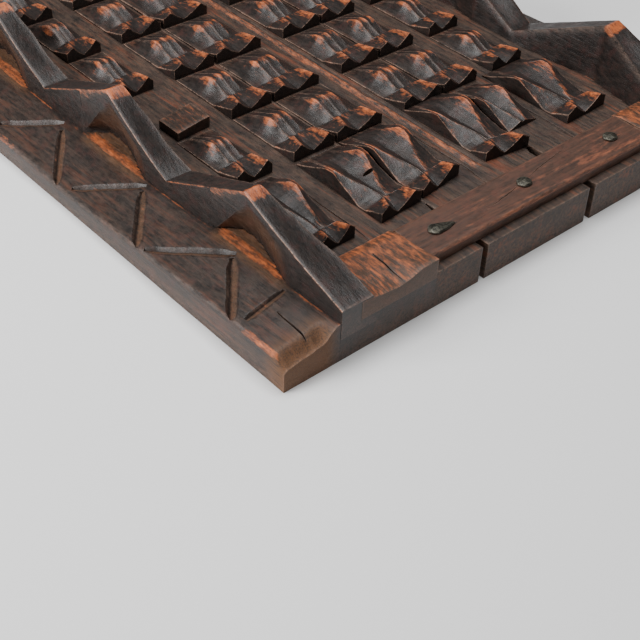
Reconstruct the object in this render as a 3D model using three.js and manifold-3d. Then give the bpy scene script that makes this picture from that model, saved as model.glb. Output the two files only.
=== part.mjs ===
// A carved granary door, lying face up: three planks side by side, held by a batten
// nailed across each end. Millimetres, +Z up, the lower end towards -Y.
import * as THREE from 'three';
import { mergeVertices } from 'three/addons/utils/BufferGeometryUtils.js';
import Module from 'manifold-3d';

const wasm = await Module();
wasm.setup();
const { Manifold, Mesh } = wasm;

// Overall sizes
const WIDTH = 553.5;
const LENGTH = 777.6;
const FIELD_Z = 35.1; // the flat ground that the figures stand on
const SEAM_1 = 210.8; // joint between the left and the middle plank, from the left edge
const SEAM_2 = 343.2; // joint between the middle and the right plank
const CLEAR = 0.3; // between pieces that touch
const SINK = 6; // how far a raised form goes down into its plank before they are joined

// Border strip outside each zigzag ridge: it slopes down to a thin outer edge
const BORDER_W = 54;
const ARRIS = 3;
const END_WEAR = 38; // width of the border that is worn down at the lower end
// Distance from the lower end, height of the outer edge, height at the foot of the ridge
const BORDER_LINE = [
  [0, 21, 36],
  [13, 29.5, 37.5],
  [60, 29.5, 36],
  [140, 25, 35.5],
  [200, 21.5, 32],
  [290, 17.8, 29.8],
  [450, 21, 30.5],
  [620, 25, 33],
  [777.6, 28, 36],
];

// Zigzag ridges, one inside each border
const RIDGE_END_Z = 49;
const RIDGE_PEAK_Z = 91.4;
const RIDGE_VALLEY_Z = 45;
const RIDGE_PEAKS = [111.5, 296, 481, 666];
const RIDGE_VALLEYS = [216, 401, 586];
const RIDGE_END_W = 31.5;
const RIDGE_HIP_W = 34;
const RIDGE_PEAK_W = 17;
const RIDGE_VALLEY_W = 27;
const RIDGE_SPREAD = 5; // the inner wall leans out this much at its foot
const RIDGE_SAG = 4; // the inner edge of the top lies this much lower on a rising slope
const PEAK_FLAT = 7;
const UNDERCUT = 15; // how far the outer wall is cut in at its foot, under a peak

// Chip-carved V grooves that zigzag along each border
const GROOVE_HALF = 4;
const GROOVE_DEPTH = 3.6;
const GROOVE_OUTER_X = 2;
const GROOVE_INNER_X = 47;
const GROOVE_FIRST = 56;
const GROOVE_PITCH = 60;
const GROOVE_COUNT = 10;

// Figures, in rows across the door: two lobes with a valley between them, and a body behind
const FRONT_2 = 183.6; // of the second row, from the lower end
const ROW_PITCH = 85.5;
const ROWS = 7;
const LOBE_BACK = 17.5;
const LOBE_END = 28;
const BODY_STEPS = 6;
const BASE_EDGE = 1.2;
const LOBE_SHARES = [0, 0.2, 0.5, 0.83, 1];
const LOBE_FRONT = [9, 14.6, 2.6, 14.6, 10.5];
const LOBE_LIP = [4.5, 13, 6.5, 13, 5.5];
// The first row's bodies are broad and hollow, with a sharp crest along each side
const BROAD = {
  length: 106.5,
  crest: 18,
  shares: [0, 0.14, 0.5, 0.86, 1],
  cross: [0.97, 0.78, 0.48, 0.7, 0.8],
};
// The others have one narrow crest between wide flanks
const NARROW = {
  length: 83,
  crest: 15.5,
  shares: [0, 0.34, 0.5, 0.66, 1],
  cross: [0, 1, 1, 0.87, 0],
};
// Sides of each column of figures in the first row and in the others, and the first row's front
const COLUMNS = [
  { first: [97, 133.5], rest: [102.6, 140], front: [73.5, 73.5] },
  { first: [163, 209.8], rest: [163.8, 209.8], front: [73.5, 76] },
  { first: [213, 262], rest: [213, 266.5], front: [77, 83.5] },
  { first: [294.5, 341.8], rest: [294.5, 341.8], front: [82.5, 76] },
  { first: [344.6, 381], rest: [344.6, 389], front: [73.5, 73.5] },
  { first: [398, 451], rest: [411, 451], front: [79, 80] },
];

// End blocks, the battens let in between them, and the battens' nails
const BLOCK_Z = 47.5;
const BLOCK_LEN = 54;
const BLOCK_END_X = 153;
const BATTEN_Y = 9;
const BATTEN_W = 43;
const BATTEN_T = 11.3;
const BATTEN_RIGHT = 427.5;
const NAIL_X = [180, 283.5, 395];
const NAIL_SHANK = 3.4;
const NAIL_DEPTH = 8;

const DARK_WOOD = 0x2e2826;
const MID_WOOD = 0x322a27;
const WORN_WOOD = 0x5a3c2c;
const IRON = 0x2b2a2a;

const { lerp } = THREE.MathUtils;

// The value of a table's column, in a straight line between two of its rows
function along(table, at, column) {
  let k = 0;
  while (k < table.length - 2 && at > table[k + 1][0]) k += 1;
  const [a, b] = [table[k], table[k + 1]];
  const t = THREE.MathUtils.clamp((at - a[0]) / (b[0] - a[0]), 0, 1);
  return lerp(a[column], b[column], t);
}

function toSolid(geometry) {
  geometry.deleteAttribute('normal');
  geometry.deleteAttribute('uv');
  const merged = mergeVertices(geometry);
  const vertProperties = merged.getAttribute('position').array;
  const triVerts = new Uint32Array(merged.getIndex().array);
  return new Manifold(new Mesh({ numProp: 3, vertProperties, triVerts }));
}

// A closed body from its corners and triangles, turned so that its faces point out
function closedBody(corners, triangles) {
  const points = corners.map((corner) => new THREE.Vector3(...corner));
  let volume = 0;
  triangles.forEach(([a, b, c]) => {
    volume += points[a].dot(points[b].clone().cross(points[c]));
  });
  const faces = volume < 0 ? triangles.map(([a, b, c]) => [a, c, b]) : triangles;
  const geometry = new THREE.BufferGeometry().setFromPoints(points);
  geometry.setIndex(faces.flat());
  return toSolid(geometry);
}

// A body through a row of outlines, all with the same number of corners, closed at both ends
function loft(outlines) {
  const n = outlines[0].length;
  const last = (outlines.length - 1) * n;
  const triangles = [];
  for (let j = 0; j < outlines.length - 1; j += 1) {
    for (let i = 0; i < n; i += 1) {
      const next = (i + 1) % n;
      const [a, b] = [j * n + i, j * n + next];
      triangles.push([a, b, b + n], [a, b + n, a + n]);
    }
  }
  for (let i = 1; i < n - 1; i += 1) {
    triangles.push([0, i + 1, i], [last, last + i, last + i + 1]);
  }
  return closedBody(outlines.flat(), triangles);
}

// A body under a surface given as rows of [x, y, z], with a flat bottom
function relief(rows, bottom) {
  const n = rows[0].length;
  const m = rows.length;
  const corners = [...rows.flat(), ...rows.flat().map(([x, y]) => [x, y, bottom])];
  const triangles = [];
  const quad = (a, b, c, d) => triangles.push([a, b, c], [a, c, d]);
  const below = n * m;
  for (let j = 0; j < m - 1; j += 1) {
    for (let i = 0; i < n - 1; i += 1) {
      const a = j * n + i;
      const mirroredHalf = i >= (n - 1) / 2;
      if (mirroredHalf) quad(a + 1, a + 1 + n, a + n, a);
      else quad(a, a + 1, a + 1 + n, a + n);
      quad(below + a, below + a + n, below + a + n + 1, below + a + 1);
    }
  }
  const wall = (a, b) => quad(a, below + a, below + b, b);
  for (let i = 0; i < n - 1; i += 1) {
    wall(i, i + 1);
    wall((m - 1) * n + i + 1, (m - 1) * n + i);
  }
  for (let j = 0; j < m - 1; j += 1) {
    wall((j + 1) * n, j * n);
    wall(j * n + n - 1, (j + 1) * n + n - 1);
  }
  return closedBody(corners, triangles);
}

function block(x0, x1, y0, y1, z0, z1) {
  const geometry = new THREE.BoxGeometry(x1 - x0, y1 - y0, z1 - z0);
  geometry.translate((x0 + x1) / 2, (y0 + y1) / 2, (z0 + z1) / 2);
  return toSolid(geometry);
}

// Distances below run from the left edge, the lower end and the underside of the door.
// A side plank is made once, as the left one; flip turns a place on it to the right plank.
const stay = (x) => x;
const flip = (x) => WIDTH - x;

function borderZ(x, y) {
  const outer = along(BORDER_LINE, y, 1);
  const foot = along(BORDER_LINE, y, 2);
  return lerp(outer, foot, x / BORDER_W);
}

function sidePlank(side, seamX) {
  const inner = BORDER_W + UNDERCUT + 1;
  const rows = BORDER_LINE.map(([y, outer, foot], k) => {
    const worn = k === 0 ? outer : borderZ(END_WEAR, y);
    return [
      [side(0), y, outer - ARRIS],
      [side(ARRIS), y, borderZ(ARRIS, y)],
      [side(END_WEAR), y, worn],
      [side(BORDER_W), y, foot],
      [side(inner), y, foot + 1],
      [side(inner + 1), y, FIELD_Z],
      [side(seamX), y, FIELD_Z],
    ];
  });
  return relief(rows, 0);
}

// The ridge is straight in plan, and its flat top climbs to sharp peaks. Under each peak the
// outer wall is cut in at its foot.
function ridgeSections() {
  const knots = [[0, RIDGE_END_Z]];
  RIDGE_PEAKS.forEach((y, k) => {
    knots.push([y - PEAK_FLAT / 2, RIDGE_PEAK_Z - 2], [y + PEAK_FLAT / 2, RIDGE_PEAK_Z]);
    if (k < RIDGE_VALLEYS.length) knots.push([RIDGE_VALLEYS[k], RIDGE_VALLEY_Z]);
  });
  knots.push([LENGTH, RIDGE_END_Z]);
  const section = (y, w, cut, sag = 0) => ({ y, z: along(knots, y, 1), w, cut, sag });
  const hip = RIDGE_PEAKS[0] * 0.4;
  const list = [section(0, RIDGE_END_W, 0), section(hip, RIDGE_HIP_W, 2, RIDGE_SAG)];
  RIDGE_PEAKS.forEach((y, k) => {
    list.push(section(y - 25, 24, UNDERCUT * 0.8, RIDGE_SAG));
    list.push(section(y - PEAK_FLAT / 2, RIDGE_PEAK_W + 2, UNDERCUT));
    list.push(section(y + PEAK_FLAT / 2, RIDGE_PEAK_W, UNDERCUT));
    list.push(section(y + 26, 21, UNDERCUT * 0.8), section(y + 40, 22, 0));
    if (k < RIDGE_VALLEYS.length) {
      const valley = RIDGE_VALLEYS[k];
      list.push(section(valley, RIDGE_VALLEY_W, 0), section(valley + 30, 25, 0, RIDGE_SAG));
    }
  });
  list.push(section(LENGTH - hip, RIDGE_HIP_W, 0), section(LENGTH, RIDGE_END_W, 0));
  return list;
}

function ridge(side) {
  const foot = FIELD_Z - 2 * SINK;
  const outlines = ridgeSections().map(({ y, z, w, cut, sag }) => [
    [side(BORDER_W + cut), y, foot],
    [side(BORDER_W), y, z],
    [side(BORDER_W + w), y, z - 0.6 - sag],
    [side(BORDER_W + w + RIDGE_SPREAD), y, foot],
  ]);
  return loft(outlines);
}

function groove(side, from, to) {
  const run = new THREE.Vector2(to[0] - from[0], to[1] - from[1]).normalize();
  const reach = GROOVE_HALF * 2;
  const outlines = [from, to].map(([x, y]) => {
    const z = borderZ(x, y);
    return [
      [side(x - run.y * reach), y + run.x * reach, z + GROOVE_DEPTH],
      [side(x + run.y * reach), y - run.x * reach, z + GROOVE_DEPTH],
      [side(x), y, z - GROOVE_DEPTH],
    ];
  });
  return loft(outlines);
}

function grooves(side) {
  const cuts = [groove(side, [GROOVE_OUTER_X + 5, 53], [GROOVE_INNER_X, 58])];
  for (let k = 0; k < GROOVE_COUNT; k += 1) {
    const y = GROOVE_FIRST + k * GROOVE_PITCH;
    const outward = k % 2;
    const from = [outward ? GROOVE_INNER_X - 4 : GROOVE_OUTER_X, y];
    const to = [outward ? GROOVE_OUTER_X : GROOVE_INNER_X, y + GROOVE_PITCH - 1];
    cuts.push(groove(side, from, to));
  }
  return cuts;
}

// Stations from the front of a figure backwards: two across the lobes, the rest across the body
function stations(shape, withLobes) {
  const list = [];
  if (withLobes) {
    list.push({ t: 0, shares: LOBE_SHARES, heights: LOBE_FRONT });
    list.push({ t: LOBE_BACK, shares: LOBE_SHARES, heights: LOBE_LIP });
  }
  for (let k = 0; k <= BODY_STEPS; k += 1) {
    const t = lerp(LOBE_END, shape.length, k / BODY_STEPS);
    const rise = Math.sin((Math.PI * k) / BODY_STEPS);
    const heights = shape.cross.map((c) => BASE_EDGE + c * shape.crest * rise);
    list.push({ t, shares: shape.shares, heights });
  }
  return list;
}

function figure([x0, x1], [front, frontRight], shape, withLobes = true) {
  const rows = stations(shape, withLobes).map(({ t, shares, heights }) =>
    shares.map((share, k) => {
      const skew = (frontRight - front) * share * (1 - t / shape.length);
      return [lerp(x0, x1, share), front + t + skew, FIELD_Z + heights[k]];
    }),
  );
  return relief(rows, FIELD_Z - SINK);
}

// One column of figures; keep says which rows of it are whole
function column(index, keep = () => true) {
  const { first, rest, front } = COLUMNS[index];
  const list = [];
  if (keep(0)) list.push(figure(first, front, BROAD));
  for (let row = 1; row < ROWS; row += 1) {
    const y = FRONT_2 + (row - 1) * ROW_PITCH;
    if (keep(row)) list.push(figure(rest, [y, y], NARROW));
  }
  return list;
}

// In the first column the third figure was left as a plain raised block
function plainFigure() {
  const [x0, x1] = [105, 141.5];
  const y = FRONT_2 + ROW_PITCH;
  const rows = [
    [[x0, y, FIELD_Z + 8.5], [x1, y + 4, FIELD_Z + 11]],
    [[x0, y + 28, FIELD_Z + 9], [x1, y + 30, FIELD_Z + 11.5]],
  ];
  return relief(rows, FIELD_Z - SINK);
}

function endBlocks(x0, x1) {
  return [
    block(x0, x1, 0, BLOCK_LEN, FIELD_Z - SINK, BLOCK_Z),
    block(x0, x1, LENGTH - BLOCK_LEN, LENGTH, FIELD_Z - SINK, BLOCK_Z),
  ];
}

const joinAll = (parts) => parts.reduce((sum, part) => sum.add(part));
const cutAll = (base, cuts) => cuts.reduce((rest, cut) => rest.subtract(cut), base);

function leftPlank() {
  const seam = SEAM_1 - CLEAR / 2;
  const figures = [...column(0, (row) => row !== 2), plainFigure(), ...column(1)];
  const blocks = endBlocks(BORDER_W + 20, BLOCK_END_X);
  const body = joinAll([sidePlank(stay, seam), ridge(stay), ...blocks, ...figures]);
  // The joint is worn open at the lower end
  const mouth = block(SEAM_1 - 6.5, SEAM_1 + 1, -1, 42, -1, FIELD_Z + 1);
  const slot = block(SEAM_1 - 3.2, SEAM_1 + 1, -1, 70, -1, FIELD_Z + 1);
  return cutAll(body, [...grooves(stay), mouth, slot]);
}

function rightPlank() {
  const seam = WIDTH - SEAM_2 - CLEAR / 2;
  // The front of the fifth column's first figure is lost, so only its body is left
  const { first, front } = COLUMNS[4];
  const figures = [figure(first, front, BROAD, false), ...column(4, (row) => row > 0)];
  const blocks = endBlocks(BATTEN_RIGHT + CLEAR, WIDTH - BORDER_W - 20);
  const side = [sidePlank(flip, seam), ridge(flip)];
  const body = joinAll([...side, ...blocks, ...figures, ...column(5)]);
  return cutAll(body, grooves(flip));
}

function middlePlank() {
  const x0 = SEAM_1 + CLEAR / 2;
  const x1 = SEAM_2 - CLEAR / 2;
  const plank = block(x0, x1, 0, LENGTH, 0, FIELD_Z);
  // A low moulding runs up the middle of the plank, between two columns
  const lineX = 284.5;
  const moulding = relief(
    [80, 700].map((y) => [-3, 0, 3].map((dx) => [lineX + dx, y, FIELD_Z + (dx ? 0.2 : 1.6)])),
    FIELD_Z - SINK,
  );
  const body = joinAll([plank, moulding, ...column(2), ...column(3)]);
  const slot = block(x1 - 7.5, x1 + 1, -1, 76, -1, FIELD_Z + 1);
  return cutAll(body, [slot]);
}

function batten(y0) {
  const [x0, x1] = [BLOCK_END_X + CLEAR, BATTEN_RIGHT];
  const z0 = FIELD_Z + CLEAR;
  const top = z0 + BATTEN_T;
  // Distance across the batten and how far the worn edge has gone down there
  const profile = [[0, 2], [2, 0], [BATTEN_W - 1.5, 0], [BATTEN_W, 1.5]];
  const rows = profile.map(([dy, drop]) => [x0, x1].map((x) => [x, y0 + dy, top - drop]));
  const half = NAIL_SHANK / 2 + CLEAR;
  const y = y0 + BATTEN_W / 2;
  const holes = NAIL_X.map((x) =>
    block(x - half, x + half, y - half, y + half, top - NAIL_DEPTH - CLEAR, top + 1),
  );
  return cutAll(relief(rows, z0), holes);
}

// A forged nail with a hammered, slightly domed head. The bent one's head runs out in a long tail.
function nail(x, y, bent) {
  const z = FIELD_Z + CLEAR + BATTEN_T + CLEAR;
  const s = NAIL_SHANK / 2;
  const shank = block(x - s, x + s, y - s, y + s, z - NAIL_DEPTH, z + 1);
  const plain = [[-8, -6], [7, -6.5], [8, 5.5], [-7, 6.5]];
  const long = [[-8, -6], [2, -5.5], [19.5, -3.5], [19.5, 0], [1, 4], [-7, 5.5]];
  const outline = bent ? long : plain;
  const ring = (share, height) =>
    outline.map(([dx, dy]) => {
      const fade = bent && dx > 10 ? 0.4 : 1;
      return [x + dx * share, y + dy * share, z + height * fade];
    });
  return shank.add(loft([ring(1, 0), ring(0.95, 1.3), ring(0.6, 3.2)]));
}

// A named mesh of a solid, with the origin of the door under its middle
function toMesh(name, solid, color, roughness, metalness = 0) {
  const { vertProperties, triVerts } = solid.getMesh();
  const geometry = new THREE.BufferGeometry();
  geometry.setAttribute('position', new THREE.BufferAttribute(vertProperties, 3));
  geometry.setIndex(new THREE.BufferAttribute(triVerts, 1));
  geometry.translate(-WIDTH / 2, -LENGTH / 2, 0);
  geometry.computeVertexNormals();
  const material = new THREE.MeshStandardMaterial({ color, roughness, metalness });
  const mesh = new THREE.Mesh(geometry, material);
  mesh.name = name;
  return mesh;
}

const LOWER_Y = BATTEN_Y;
const UPPER_Y = LENGTH - BATTEN_Y - BATTEN_W;

const door = new THREE.Group();
door.name = 'granary_door';
door.add(toMesh('plank_left', leftPlank(), DARK_WOOD, 0.7));
door.add(toMesh('plank_middle', middlePlank(), MID_WOOD, 0.7));
door.add(toMesh('plank_right', rightPlank(), DARK_WOOD, 0.7));
door.add(toMesh('batten_lower', batten(LOWER_Y), WORN_WOOD, 0.65));
door.add(toMesh('batten_upper', batten(UPPER_Y), WORN_WOOD, 0.65));
NAIL_X.forEach((x, k) => {
  const lower = nail(x, LOWER_Y + BATTEN_W / 2, k === 0);
  door.add(toMesh(`nail_lower_${k + 1}`, lower, IRON, 0.5, 0.8));
  const upper = nail(x, UPPER_Y + BATTEN_W / 2, false);
  door.add(toMesh(`nail_upper_${k + 1}`, upper, IRON, 0.5, 0.8));
});

export default door;
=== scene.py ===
# %% [markdown]
# # A carved granary door
# The real door is three thick planks of dark, hand-polished wood. Rows of little figures
# and two zigzag ridges stand up from the ground that the carver cut away, and a batten is
# nailed across each end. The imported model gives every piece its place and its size, and this
# lesson carves the finer surface over it and finishes each wood and the iron.

# %% Load the frame
import math

import bmesh
import bpy
import numpy as np
from mathutils import Matrix, Vector, noise


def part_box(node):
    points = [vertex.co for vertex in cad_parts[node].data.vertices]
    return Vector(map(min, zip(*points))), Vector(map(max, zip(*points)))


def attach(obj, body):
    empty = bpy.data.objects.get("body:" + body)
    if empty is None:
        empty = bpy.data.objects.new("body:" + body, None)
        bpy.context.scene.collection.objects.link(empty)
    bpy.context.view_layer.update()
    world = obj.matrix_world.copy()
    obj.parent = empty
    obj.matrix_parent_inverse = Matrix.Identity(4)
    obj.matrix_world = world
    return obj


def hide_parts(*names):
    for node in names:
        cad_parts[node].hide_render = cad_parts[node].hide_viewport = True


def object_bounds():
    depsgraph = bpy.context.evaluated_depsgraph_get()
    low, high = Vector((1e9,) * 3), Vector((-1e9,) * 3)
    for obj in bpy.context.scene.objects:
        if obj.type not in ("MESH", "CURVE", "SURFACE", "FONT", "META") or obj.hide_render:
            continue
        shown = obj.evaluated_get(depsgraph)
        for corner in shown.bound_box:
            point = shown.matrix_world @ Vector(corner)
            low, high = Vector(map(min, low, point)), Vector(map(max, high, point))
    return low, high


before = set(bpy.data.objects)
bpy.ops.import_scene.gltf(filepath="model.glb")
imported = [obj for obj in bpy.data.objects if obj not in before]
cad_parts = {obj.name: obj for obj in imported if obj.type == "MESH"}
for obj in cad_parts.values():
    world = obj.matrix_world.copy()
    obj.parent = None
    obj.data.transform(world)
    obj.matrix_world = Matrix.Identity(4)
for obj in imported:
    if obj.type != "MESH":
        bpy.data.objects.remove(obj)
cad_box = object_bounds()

MM = 0.001
corner, far_corner = (Vector(point) for point in cad_box)
WIDTH, LENGTH, HEIGHT = (far_corner - corner) / MM
print(f"door {WIDTH:.1f} x {LENGTH:.1f} x {HEIGHT:.1f} mm")

# %% [markdown]
# ## The camera
# The long edges and the end of the door run to two vanishing points in the photograph, and
# the upright edges to a third. Those three give the focal length and the turn of the camera.

# %% Place the camera
FOCAL_PIXELS = 1265.6
FRAME_PIXELS = 640
SENSOR_MM = 36
CAMERA_PLACE = (-0.70697, -0.88455, 0.64200)
LOOK_RIGHT = Vector((0.75248, -0.65758, 0.03706))
LOOK_UP = Vector((0.41077, 0.51254, 0.75403))

camera = bpy.data.objects.new("camera", bpy.data.cameras.new("camera"))
bpy.context.scene.collection.objects.link(camera)
camera.data.sensor_width = SENSOR_MM
camera.data.lens = FOCAL_PIXELS / FRAME_PIXELS * SENSOR_MM
axes = Matrix((LOOK_RIGHT, LOOK_UP, LOOK_RIGHT.cross(LOOK_UP))).transposed().to_4x4()
camera.matrix_world = Matrix.Translation(CAMERA_PLACE) @ axes
bpy.context.scene.camera = camera
print(f"camera lens {camera.data.lens:.1f} mm")

# %% [markdown]
# ## Sizes of the carving
# All the carving is measured in millimetres from the door's left edge, its lower end and its
# underside, as a joiner would mark it out.

# %% Name the sizes
FIELD_Z = 35.1
SEAM_LEFT = (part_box("plank_left")[1][0] - corner.x) / MM
SEAM_MIDDLE = tuple((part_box("plank_middle")[k][0] - corner.x) / MM for k in (0, 1))
SEAM_RIGHT = (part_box("plank_right")[0][0] - corner.x) / MM
BORDER = 54
ARRIS = 3
SINK = 5
FINE_STEP = 1.8
COARSE_STEP = 4
FINE_UNTIL = 440
PEAKS = (111.5, 296, 481, 666)
VALLEYS = (216, 401, 586)
PEAK_Z = HEIGHT - 0.3
VALLEY_Z = 45
UNDERCUT = 16.5
UNDER_RIDGE = 18
BLOCK_LENGTH = 54
print(f"seams at {SEAM_LEFT:.1f}, {SEAM_MIDDLE[1]:.1f} mm")

# %% Small helpers for shapes
def lerp(a, b, t):
    return a + (b - a) * t


def smooth(t):
    t = min(1.0, max(0.0, t))
    return t * t * (3 - 2 * t)


def along(points, at):
    """The height of a line through (place, height) points."""
    for (a, low), (b, high) in zip(points, points[1:]):
        if at <= b:
            return lerp(low, high, (at - a) / (b - a))
    return points[-1][1]


def bumps(x, y, z, size, stretch=1.0):
    """Smooth noise between about -1 and 1. Stretch draws it out along the planks."""
    return noise.noise(Vector((x / size, y / size / stretch, z / size)))


def steps(start, end, size):
    count = max(1, round((end - start) / size))
    return [lerp(start, end, k / count) for k in range(count + 1)]


# %% [markdown]
# ## One way to make every carved form
# Each form starts as a flat bmesh grid. Its vertices are lifted to a surface, then its rim is
# extruded down to a floor and the floor is filled, which gives a closed body. A groove is the
# same thing with its floor above the surface. This keeps the carved top an even, editable
# sheet, and the cut edges stay exactly where they are put. Four numbers ride on the vertices
# for the finishes: wear, raw wood, bare ground, and a painted highlight that brightens the
# pale edge line where an edge faces the lamp.

# %% Make a body under a sheet
MARKS = ("wear", "raw", "ground", "shine")
WALL_BAND = 1.2


def sheet_body(name, columns, rows, surface, floor):
    """surface(i, j) gives (x, y, z) in door millimetres and the marks at that crossing."""
    bm = bmesh.new()
    layers = [bm.verts.layers.float.new(mark) for mark in MARKS]
    bmesh.ops.create_grid(bm, x_segments=columns - 1, y_segments=rows - 1, size=0.5)
    for vert in bm.verts:
        i = round((vert.co.x + 0.5) * (columns - 1))
        j = round((vert.co.y + 0.5) * (rows - 1))
        place, marks = surface(i, j)
        vert.co = place
        for layer, value in zip(layers, marks):
            vert[layer] = value
    side = 1 if floor < place[2] else -1
    for drop in (WALL_BAND, None):
        rim = [edge for edge in bm.edges if edge.is_boundary]
        grown = bmesh.ops.extrude_edge_only(bm, edges=rim)["geom"]
        for vert in (item for item in grown if isinstance(item, bmesh.types.BMVert)):
            vert.co.z = floor if drop is None else vert.co.z - side * drop
            vert[layers[0]] = 0
    rim = [edge for edge in bm.edges if edge.is_boundary]
    bmesh.ops.holes_fill(bm, edges=rim, sides=0)
    bmesh.ops.transform(bm, matrix=Matrix.Scale(MM, 4), verts=bm.verts)
    bmesh.ops.translate(bm, vec=corner, verts=bm.verts)
    bmesh.ops.recalc_face_normals(bm, faces=bm.faces)
    mesh = bpy.data.meshes.new(name)
    bm.to_mesh(mesh)
    bm.free()
    made = bpy.data.objects.new(name, mesh)
    bpy.context.scene.collection.objects.link(made)
    return made


def join(base, other, operation):
    """Joins one closed body to another, or cuts it away, and uses the other one up."""
    change = base.modifiers.new("join", "BOOLEAN")
    change.operation = operation
    change.solver = "MANIFOLD"
    change.object = other
    graph = bpy.context.evaluated_depsgraph_get()
    mesh = bpy.data.meshes.new_from_object(
        base.evaluated_get(graph), preserve_all_data_layers=True, depsgraph=graph
    )
    base.modifiers.clear()
    base.data = mesh
    bpy.data.objects.remove(other)


def add(base, others):
    for other in others:
        join(base, other, "UNION")


def cut(base, others):
    for other in others:
        join(base, other, "DIFFERENCE")


# %% [markdown]
# ## Sharp, worn and highlighted edges
# Hands have rubbed the patina off every edge that stands proud. So each finished mesh gets
# one more number, how far each vertex stands out from its neighbours, and the finishes turn
# it into a pale line. That line is partly rubbed wood and partly a painted highlight, which is
# strongest where the vertices mark an arris that faces the lamp. Edges steeper than a set
# angle stay crisp, and the rest are smooth.

# %% Finish a mesh
CRISP = math.radians(34)


def mark_edges(mesh):
    count = len(mesh.vertices)
    places = np.empty(count * 3)
    mesh.vertices.foreach_get("co", places)
    places = places.reshape(-1, 3)
    normals = np.empty(count * 3)
    mesh.vertex_normals.foreach_get("vector", normals)
    normals = normals.reshape(-1, 3)
    pairs = np.empty(len(mesh.edges) * 2, np.int64)
    mesh.edges.foreach_get("vertices", pairs)
    first, second = pairs.reshape(-1, 2).T
    run = places[first] - places[second]
    run /= np.maximum(np.linalg.norm(run, axis=1, keepdims=True), 1e-9)
    total, number = np.zeros(count), np.zeros(count)
    for at, sign in ((first, 1), (second, -1)):
        np.add.at(total, at, (normals[at] * run).sum(1) * sign)
        np.add.at(number, at, 1)
    proud = np.clip(total / np.maximum(number, 1) * 3.2 - 0.12, 0, 1)
    layer = mesh.attributes.new("edge", "FLOAT", "POINT")
    layer.data.foreach_set("value", proud.astype(np.float32))


def finish_piece(piece, name, nodes, material):
    piece.name = name
    piece.data.name = name
    mark_edges(piece.data)
    piece.data.shade_smooth()
    piece.data.set_sharp_from_angle(angle=CRISP)
    piece.data.materials.clear()
    piece.data.materials.append(material)
    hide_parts(*nodes)
    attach(piece, "root")
    triangles = sum(len(face.vertices) - 2 for face in piece.data.polygons)
    print(f"{name}: {triangles} triangles")


# %% [markdown]
# ## The planks
# The two side planks mirror each other: a border that slopes down to a thin edge, then the
# ground. The ground isn't flat, because it was cleared with an adze along the grain. The
# lower end of the border has rotted and split, so its surface drops there and turns fibrous.

# %% Shape the ground and the borders
BORDER_LINE = (
    (0, 29.5, 37.5), (60, 29.5, 36), (140, 25, 35.5), (200, 21.5, 32), (290, 17.8, 29.8),
    (450, 21, 30.5), (620, 25, 33), (777.6, 28, 36),
)
OUTER_LINE = [(y, outer) for y, outer, foot in BORDER_LINE]
FOOT_LINE = [(y, foot) for y, outer, foot in BORDER_LINE]
END_DROP = 9
END_REACH = 15


def border_z(x, y):
    z = lerp(along(OUTER_LINE, y), along(FOOT_LINE, y), x / BORDER)
    rotten = (1 - smooth(y / END_REACH)) * (1 - smooth((x - 36) / 16))
    return z - END_DROP * rotten


def ground_z(x, y):
    adze = 0.5 * bumps(x, y, 3, 17, 1.6) + 0.22 * bumps(x, y, 9, 5, 2.5)
    return FIELD_Z + adze


def side_surface(xs, ys, flip):
    """The upper surface of a side plank. Flip turns it into the right one."""
    def surface(i, j):
        x, y = xs[i], ys[j]
        seed = 40 if flip else 0
        marks = [0.0, 0.0, 0.0, 0.0]
        if x <= BORDER + UNDER_RIDGE:
            z = border_z(x, y)
            z += 0.45 * bumps(x, y, 20 + seed, 21, 1.3) + 0.16 * bumps(x, y, 30 + seed, 4, 3)
            rotten = (1 - smooth(y / 30)) * (1 - smooth((x - 40) / 14))
            fibres = bumps(x, y, 50 + seed, 1.9, 7) + 0.6 * bumps(x, y, 60 + seed, 4.5, 3)
            z += 0.9 * fibres * rotten
            nibbled = 1 - smooth((x - 1.5) / 3.5)
            z -= nibbled * (0.5 + 0.9 * abs(bumps(x, y, 70 + seed, 9, 2)))
            off = y - min(PEAKS, key=lambda peak: abs(y - peak - 5))
            pocket = smooth((off + 62) / 25) * (1 - smooth((off - 30) / 14))
            under = smooth((x - BORDER + 12) / 9) * pocket
            ledge = smooth((x - BORDER + 4) / 3) * (1 - smooth((x - BORDER - 5) / 4))
            z += under * 0.7 * bumps(x, y, 80 + seed, 3.5, 1.2)
            foot = smooth((x - BORDER + 4.5) / 3) * (1 - pocket)
            marks[0] = 0.8 * nibbled * smooth(bumps(x, y, 90 + seed, 30, 2) * 2.2)
            marks[0] = max(marks[0], 0.5 * foot, 0.75 * ledge * pocket)
            marks[1] = max(0.8 * rotten, 0.5 * under)
            marks[2] = 0.35 + 0.4 * under
            if i == 0:
                z = max(z - ARRIS, 3)
            elif i == 1:
                z -= ARRIS * 0.3
        else:
            z = ground_z(x, y)
            marks[2] = 1.0
        return (WIDTH - x if flip else x, y, z), marks
    return surface


def plank_steps():
    return steps(0.4, FINE_UNTIL, FINE_STEP) + steps(FINE_UNTIL, LENGTH, COARSE_STEP)[1:]


def side_plank(flip):
    seam = WIDTH - SEAM_RIGHT if flip else SEAM_LEFT
    size = FINE_STEP * (1.5 if flip else 1)
    xs = [0, 0.7, 2.2] + steps(ARRIS + 1, BORDER + UNDER_RIDGE, size)
    xs += steps(BORDER + UNDER_RIDGE + 1, seam, size)
    ys = plank_steps()
    return sheet_body("plank", len(xs), len(ys), side_surface(xs, ys, flip), 0)


left_plank = side_plank(False)
right_plank = side_plank(True)
print(f"left plank starts with {len(left_plank.data.vertices)} vertices")

# %% [markdown]
# ## The zigzag ridges
# Each ridge is straight seen from above and climbs to four sharp peaks. Its top is a slightly
# hollow facet between two arrises. Under each peak the outer wall is cut in at its foot, and
# there the adze left rough, raw wood. A row of cross-sections along the plank gives all this.

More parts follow.
